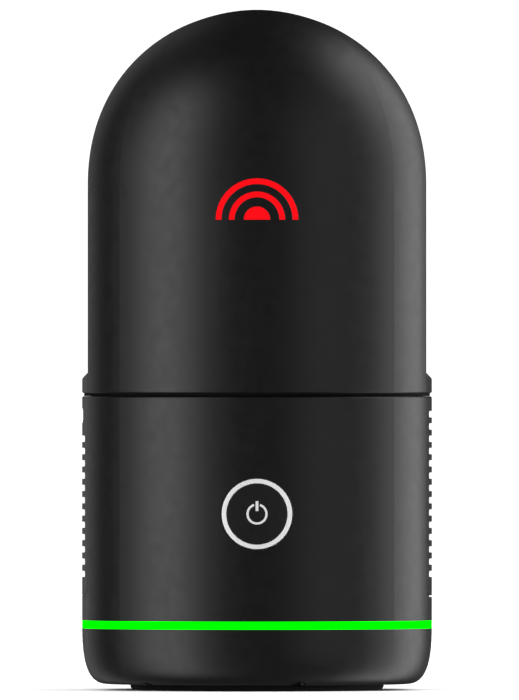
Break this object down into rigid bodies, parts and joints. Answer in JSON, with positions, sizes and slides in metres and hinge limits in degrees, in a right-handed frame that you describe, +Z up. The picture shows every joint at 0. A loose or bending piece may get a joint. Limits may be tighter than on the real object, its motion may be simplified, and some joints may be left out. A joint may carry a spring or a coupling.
{
  "type": "terrestrial laser scanner",
  "caption": "Compact black laser scanner with a turning domed head, spinning mirror, side vents, power button and a green light line above a round foot pad.",
  "frame": {"origin": "centre of the foot pad's underside, on the surface it stands on", "axes": "+Z up along the head's turning axis, -Y towards the power button, +X towards the battery door"},
  "size_m": [0.08, 0.068, 0.1554],
  "materials": {
    "body_black": "satin black moulded plastic, fine texture",
    "dark_plastic": "plain black plastic",
    "foot_rubber": "black rubber",
    "ring_metal": "bright metal ring",
    "button_black": "near-black cap",
    "icon_grey": "light grey print",
    "badge_red": "red inlay",
    "line_green": "lit green light guide",
    "lamp_white": "small lamps",
    "board_green": "circuit board",
    "steel": "machined steel",
    "alloy": "machined aluminium",
    "contact_brass": "spring contacts",
    "clear_glass": "coated clear glass",
    "lens_glass": "coated lens glass",
    "mirror_face": "front-coated mirror",
    "battery_grey": "dark grey battery case"
  },
  "bodies": {
    "base": {"foot_pad": "foot_rubber", "base_cover": "body_black", "base_screws": "steel", "mount_socket": "alloy", "light_ring": "line_green", "light_board": "board_green", "lamps": "lamp_white", "lower_housing": "body_black", "hinge_bracket": "steel", "vent_panel": "body_black", "battery_bay": "dark_plastic", "battery_contacts": "contact_brass", "chassis_plate": "alloy", "main_board": "board_green", "power_board": "board_green", "heat_sink": "alloy", "fan_frame": "dark_plastic", "port": "steel", "port_board": "board_green", "button_ring": "ring_metal", "power_switch": "dark_plastic", "top_deck": "body_black", "deck_screws": "steel", "bearing_outer": "steel", "fixed_gear": "steel", "slip_ring_body": "dark_plastic", "dust_seal": "foot_rubber"},
    "turret": {"turntable": "alloy", "slip_ring_rotor": "dark_plastic", "turn_motor": "steel", "saddle": "body_black", "front_badge": "badge_red", "front_shell": "body_black", "rear_shell": "body_black", "camera_windows": "clear_glass", "cameras": "dark_plastic", "front_cheek": "dark_plastic", "rear_cheek": "dark_plastic", "cheek_screws": "steel", "optics_window": "clear_glass", "optics_tube": "dark_plastic", "optics_lens": "lens_glass", "laser_board": "board_green", "head_board": "board_green", "mirror_motor": "steel", "bearing_inner": "steel"},
    "mirror": {"mirror_glass": "mirror_face", "mirror_drum": "alloy", "mirror_shaft": "steel"},
    "pinion": {"turn_pinion": "contact_brass"},
    "cage": {"bearing_balls": "steel", "bearing_cage": "contact_brass"},
    "power_key": {"power_button": "button_black", "button_icon": "icon_grey"},
    "door": {"battery_door": "body_black", "hinge_pin": "steel"},
    "battery_pack": {"battery": "battery_grey"},
    "fan": {"fan_rotor": "dark_plastic"},
    "release": {"release_button": "button_black", "release_pusher": "steel"}
  },
  "joints": [
    {"name": "turret_spin", "type": "hinge", "parent": "base", "child": "turret", "pos_m": [0, 0, 0.068], "axis": [0, 0, 1], "continuous": true},
    {"name": "mirror_spin", "type": "hinge", "parent": "turret", "child": "mirror", "pos_m": [0, 0, 0.116], "axis": [0, 1, 0], "continuous": true},
    {"name": "pinion_spin", "type": "hinge", "parent": "turret", "child": "pinion", "pos_m": [0.0165, 0, 0.068], "axis": [0, 0, 1], "continuous": true},
    {"name": "cage_spin", "type": "hinge", "parent": "base", "child": "cage", "pos_m": [0, 0, 0.0624], "axis": [0, 0, 1], "continuous": true},
    {"name": "power_press", "type": "slide", "parent": "base", "child": "power_key", "axis": [0, 1, 0], "range_m": [0, 0.0005], "stiffness_N_per_m": 1500},
    {"name": "door_open", "type": "hinge", "parent": "base", "child": "door", "pos_m": [0.0387, 0, 0.0225], "axis": [0, 1, 0], "range_deg": [0, 90]},
    {"name": "battery_eject", "type": "slide", "parent": "base", "child": "battery_pack", "axis": [1, 0, 0], "range_m": [0, 0.0082]},
    {"name": "fan_spin", "type": "hinge", "parent": "base", "child": "fan", "pos_m": [-0.03, 0, 0.042], "axis": [1, 0, 0], "continuous": true},
    {"name": "release_press", "type": "slide", "parent": "base", "child": "release", "axis": [0, -1, 0], "range_m": [0, 0.002], "stiffness_N_per_m": 1000}
  ],
  "couplings": [
    {"joint": "pinion_spin", "follows": "turret_spin", "ratio": 4.5},
    {"joint": "cage_spin", "follows": "turret_spin", "ratio": 0.47638},
    {"joint": "door_open", "follows": "battery_eject", "rad_per_m": 191.5}
  ]
}
